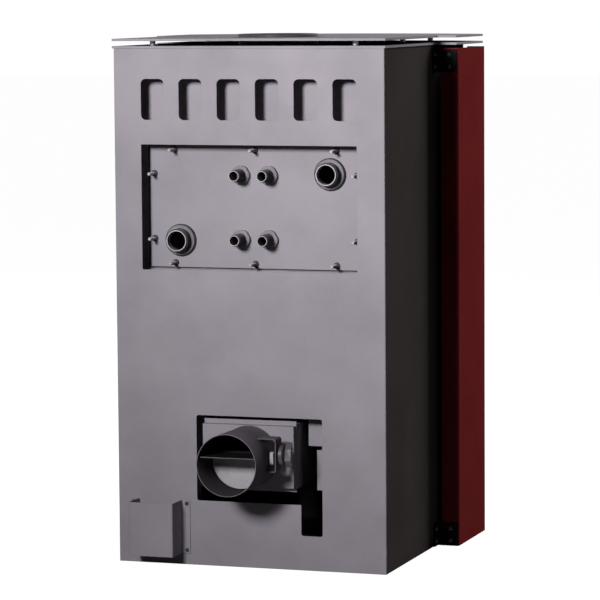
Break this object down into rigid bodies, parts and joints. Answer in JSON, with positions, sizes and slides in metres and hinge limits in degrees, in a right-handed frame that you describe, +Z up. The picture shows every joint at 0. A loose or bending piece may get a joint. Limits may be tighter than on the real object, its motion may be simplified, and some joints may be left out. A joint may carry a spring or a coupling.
{
  "type": "wood stove with back boiler",
  "caption": "Free-standing wood stove with bolted-in back boiler: grey rear casing with vent slots, water stubs and a damped air inlet, red side wings, bowed glass door and ash drawer.",
  "frame": {"origin": "on the floor, in the middle of the casing's footprint", "axes": "+Z up, -Y towards the front (door side), +X to the right as seen from the front"},
  "size_m": [0.588, 0.725, 0.943],
  "materials": {
    "grey_paint": "satin grey stove paint",
    "anthracite_paint": "satin anthracite stove paint",
    "bordeaux_paint": "satin bordeaux red enamel",
    "black_paint": "matt black heat-proof paint",
    "black_plastic": "moulded black thermoset",
    "raw_steel": "dull mill-finish steel",
    "bright_steel": "zinc-plated steel",
    "stove_glass": "clear ceramic stove glass",
    "vermiculite": "pressed vermiculite board",
    "cast_iron": "rough cast",
    "rope_seal": "braided fibre seal"
  },
  "bodies": {
    "casing": {"rear_panel": "grey_paint", "rear_heat_shield": "grey_paint", "boiler_cover_plate": "grey_paint", "air_inlet_box": "grey_paint", "air_inlet_tube": "grey_paint", "damper_bracket": "grey_paint", "hat_bracket": "grey_paint", "upper_top_plate": "grey_paint", "lower_top_plate": "grey_paint", "side_panel_left": "anthracite_paint", "side_panel_right": "anthracite_paint", "base_plate": "anthracite_paint", "front_header": "anthracite_paint", "lower_front_panel": "anthracite_paint", "plinth": "anthracite_paint", "front_frame": "anthracite_paint", "hinge_brackets": "anthracite_paint", "latch_keeper": "anthracite_paint", "firebox_supports": "anthracite_paint", "wing_panel_left": "bordeaux_paint", "wing_panel_right": "bordeaux_paint", "wing_brackets": "black_paint", "inlet_splitter": "black_paint", "firebox_shell": "raw_steel", "boiler_tank": "raw_steel", "flue_collar": "raw_steel", "ash_compartment": "raw_steel", "air_duct": "raw_steel", "flow_stub": "raw_steel", "return_stub": "raw_steel", "stub_collars": "raw_steel", "cooling_loop_left": "raw_steel", "cooling_loop_right": "raw_steel", "casing_screws": "raw_steel", "boiler_bolts": "raw_steel", "loop_lock_nuts": "raw_steel", "top_plate_spacers": "bright_steel", "firebox_lining_left": "vermiculite", "firebox_lining_right": "vermiculite", "smoke_baffle": "vermiculite", "firebox_floor": "vermiculite", "grate": "cast_iron", "boiler_gasket": "rope_seal"},
    "door": {"door_frame": "anthracite_paint", "door_glass": "stove_glass", "glass_clips": "bright_steel", "door_gasket": "rope_seal", "door_pivot_pins": "bright_steel"},
    "handle": {"door_handle": "bright_steel"},
    "drawer": {"ash_drawer": "raw_steel", "ash_drawer_front": "anthracite_paint", "ash_drawer_pull": "bright_steel"},
    "primary_air": {"primary_air_slider": "bright_steel"},
    "secondary_air": {"secondary_air_slider": "bright_steel"},
    "damper": {"damper_blade": "bright_steel", "damper_axle": "black_paint", "damper_arm": "bright_steel", "damper_washer": "black_plastic", "damper_knob": "black_plastic"}
  },
  "joints": [
    {"name": "door_swing", "type": "hinge", "parent": "casing", "child": "door", "pos_m": [-0.23977, -0.25483, 0.626], "axis": [0, 0, -1], "range_deg": [0, 110]},
    {"name": "handle_turn", "type": "hinge", "parent": "door", "child": "handle", "pos_m": [0.23542, -0.2663, 0.626], "axis": [-0.4695, 0.8829, 0], "range_deg": [0, 75]},
    {"name": "ash_drawer_slide", "type": "slide", "parent": "casing", "child": "drawer", "axis": [0, -1, 0], "range_m": [0, 0.22]},
    {"name": "primary_air_slide", "type": "hinge", "parent": "casing", "child": "primary_air", "pos_m": [0, 0.17645, 0.262], "axis": [0, 0, 1], "range_deg": [0, 4.6]},
    {"name": "secondary_air_slide", "type": "hinge", "parent": "casing", "child": "secondary_air", "pos_m": [0, 0.17645, 0.901], "axis": [0, 0, 1], "range_deg": [0, 4.6]},
    {"name": "inlet_damper_turn", "type": "hinge", "parent": "casing", "child": "damper", "pos_m": [0, 0.3035, 0.213], "axis": [-1, 0, 0], "range_deg": [0, 90]}
  ]
}
